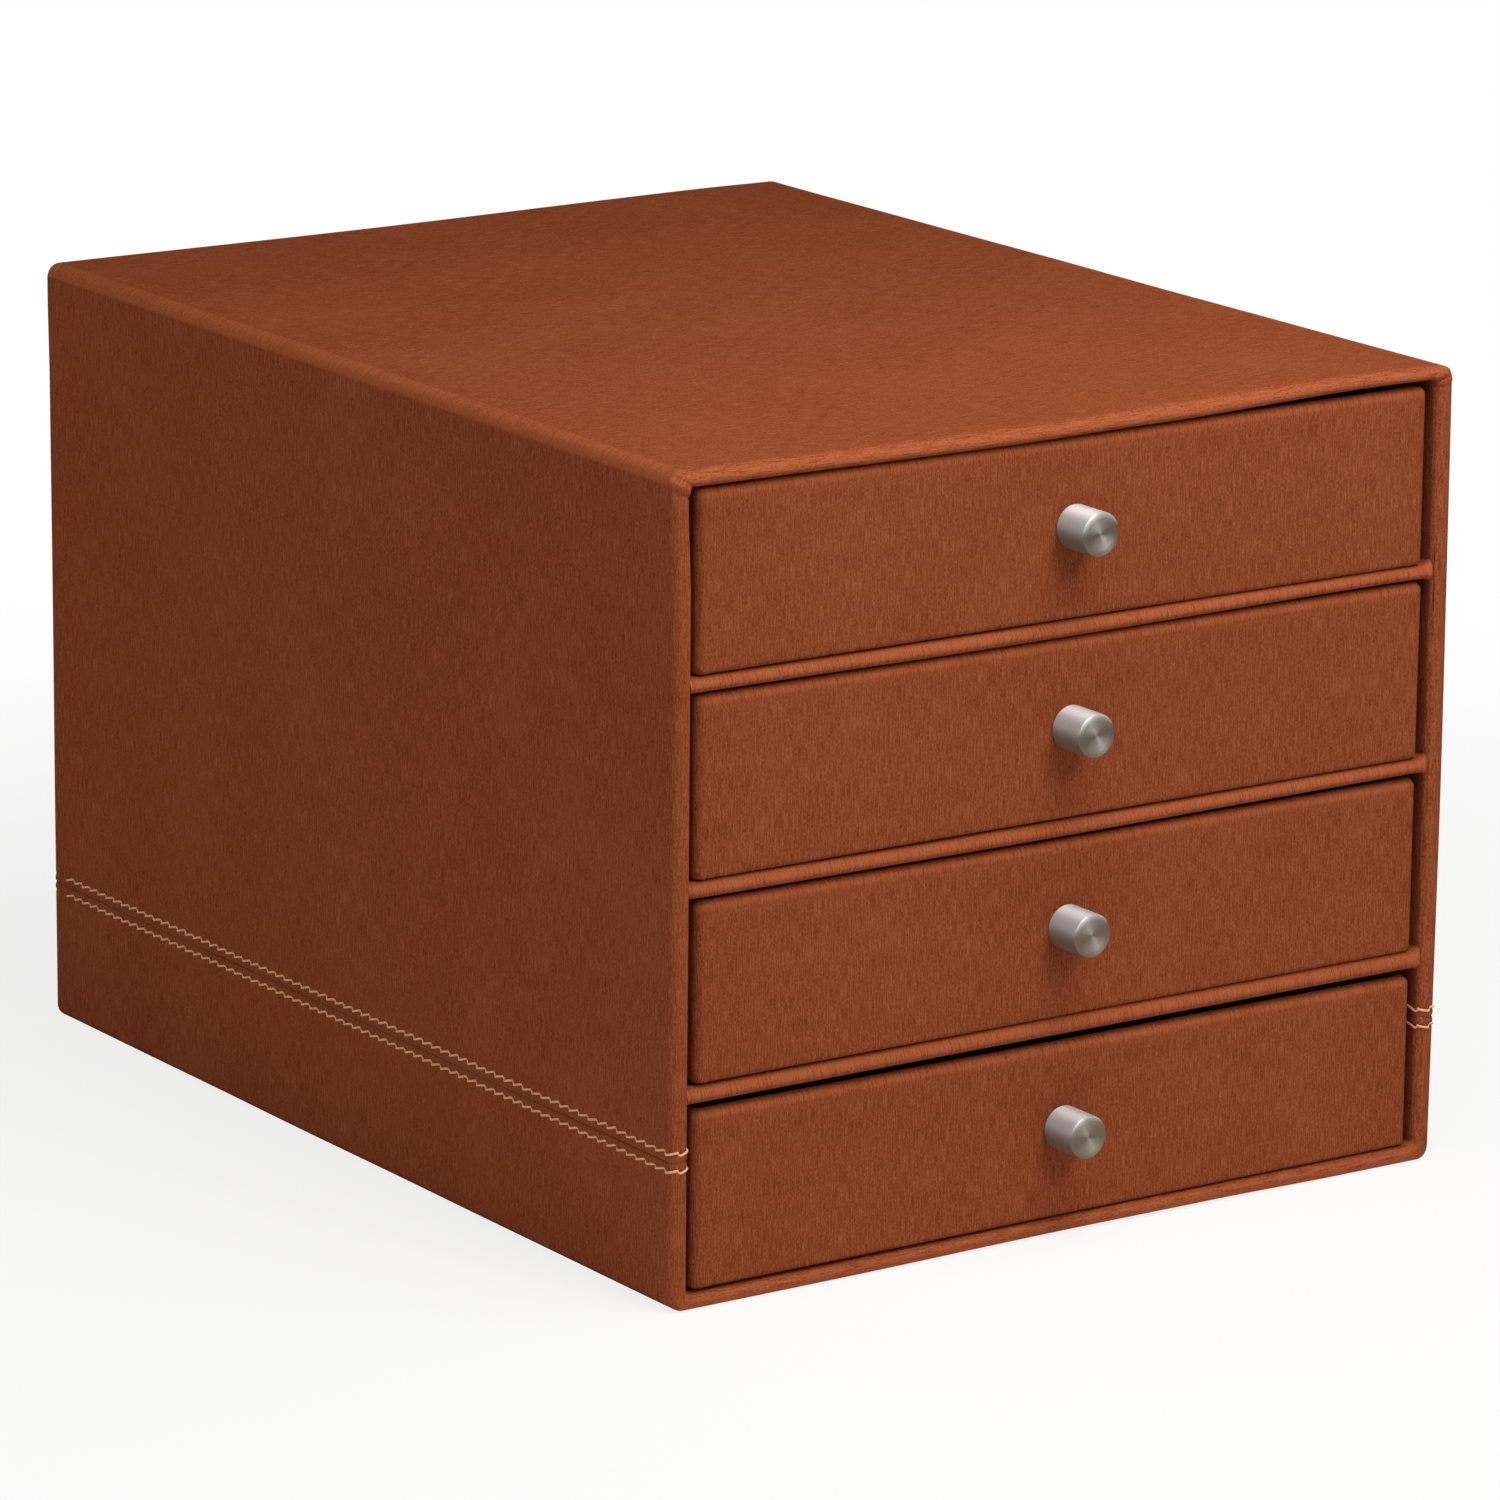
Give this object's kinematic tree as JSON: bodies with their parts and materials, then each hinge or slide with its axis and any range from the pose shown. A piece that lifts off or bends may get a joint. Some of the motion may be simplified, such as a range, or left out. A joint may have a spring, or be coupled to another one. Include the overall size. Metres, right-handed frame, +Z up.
{
  "type": "desktop mini drawers",
  "caption": "Covered-board desktop box, open at the front, with shelves and stacked pull-out drawers, each with a plain round metal knob.",
  "frame": {"origin": "centre of the case's underside, on the surface that it stands on", "axes": "+X to the right seen from the front, +Y to the back, +Z up; the drawers open towards -Y"},
  "size_m": [0.2634, 0.3456, 0.232],
  "materials": {
    "cover_paper": "cognac-brown leather-look covering paper, finely streaked grain, satin",
    "lining_paper": "plain matching lining paper, matt",
    "greyboard": "solid greyboard, fully covered",
    "stitching_thread": "tan waxed sewing thread",
    "knob_aluminium": "turned aluminium with fine circular tool marks",
    "screw_steel": "zinc-plated steel"
  },
  "bodies": {
    "case": {"left_side_board": "greyboard", "right_side_board": "greyboard", "top_board": "greyboard", "bottom_board": "greyboard", "back_board": "greyboard", "low_shelf_board": "greyboard", "middle_shelf_board": "greyboard", "high_shelf_board": "greyboard", "upper_wrap": "cover_paper", "lower_wrap": "cover_paper", "back_sheet": "cover_paper", "base_sheet": "cover_paper", "left_lining": "lining_paper", "right_lining": "lining_paper", "floor_lining": "lining_paper", "ceiling_lining": "lining_paper", "back_lining": "lining_paper", "low_shelf_cover": "cover_paper", "middle_shelf_cover": "cover_paper", "high_shelf_cover": "cover_paper", "left_stitching": "stitching_thread", "right_stitching": "stitching_thread"},
    "bottom_drawer": {"bottom_drawer_front_board": "greyboard", "bottom_drawer_back_board": "greyboard", "bottom_drawer_left_side_board": "greyboard", "bottom_drawer_right_side_board": "greyboard", "bottom_drawer_base_board": "greyboard", "bottom_drawer_cover": "cover_paper", "bottom_drawer_lining": "lining_paper", "bottom_drawer_knob": "knob_aluminium", "bottom_drawer_screw": "screw_steel"},
    "lower_drawer": {"lower_drawer_front_board": "greyboard", "lower_drawer_back_board": "greyboard", "lower_drawer_left_side_board": "greyboard", "lower_drawer_right_side_board": "greyboard", "lower_drawer_base_board": "greyboard", "lower_drawer_cover": "cover_paper", "lower_drawer_lining": "lining_paper", "lower_drawer_knob": "knob_aluminium", "lower_drawer_screw": "screw_steel"},
    "upper_drawer": {"upper_drawer_front_board": "greyboard", "upper_drawer_back_board": "greyboard", "upper_drawer_left_side_board": "greyboard", "upper_drawer_right_side_board": "greyboard", "upper_drawer_base_board": "greyboard", "upper_drawer_cover": "cover_paper", "upper_drawer_lining": "lining_paper", "upper_drawer_knob": "knob_aluminium", "upper_drawer_screw": "screw_steel"},
    "top_drawer": {"top_drawer_front_board": "greyboard", "top_drawer_back_board": "greyboard", "top_drawer_left_side_board": "greyboard", "top_drawer_right_side_board": "greyboard", "top_drawer_base_board": "greyboard", "top_drawer_cover": "cover_paper", "top_drawer_lining": "lining_paper", "top_drawer_knob": "knob_aluminium", "top_drawer_screw": "screw_steel"}
  },
  "joints": [
    {"name": "bottom_drawer_slide", "type": "slide", "parent": "case", "child": "bottom_drawer", "axis": [0, -1, 0], "range_m": [0, 0.26]},
    {"name": "lower_drawer_slide", "type": "slide", "parent": "case", "child": "lower_drawer", "axis": [0, -1, 0], "range_m": [0, 0.26]},
    {"name": "upper_drawer_slide", "type": "slide", "parent": "case", "child": "upper_drawer", "axis": [0, -1, 0], "range_m": [0, 0.26]},
    {"name": "top_drawer_slide", "type": "slide", "parent": "case", "child": "top_drawer", "axis": [0, -1, 0], "range_m": [0, 0.26]}
  ]
}
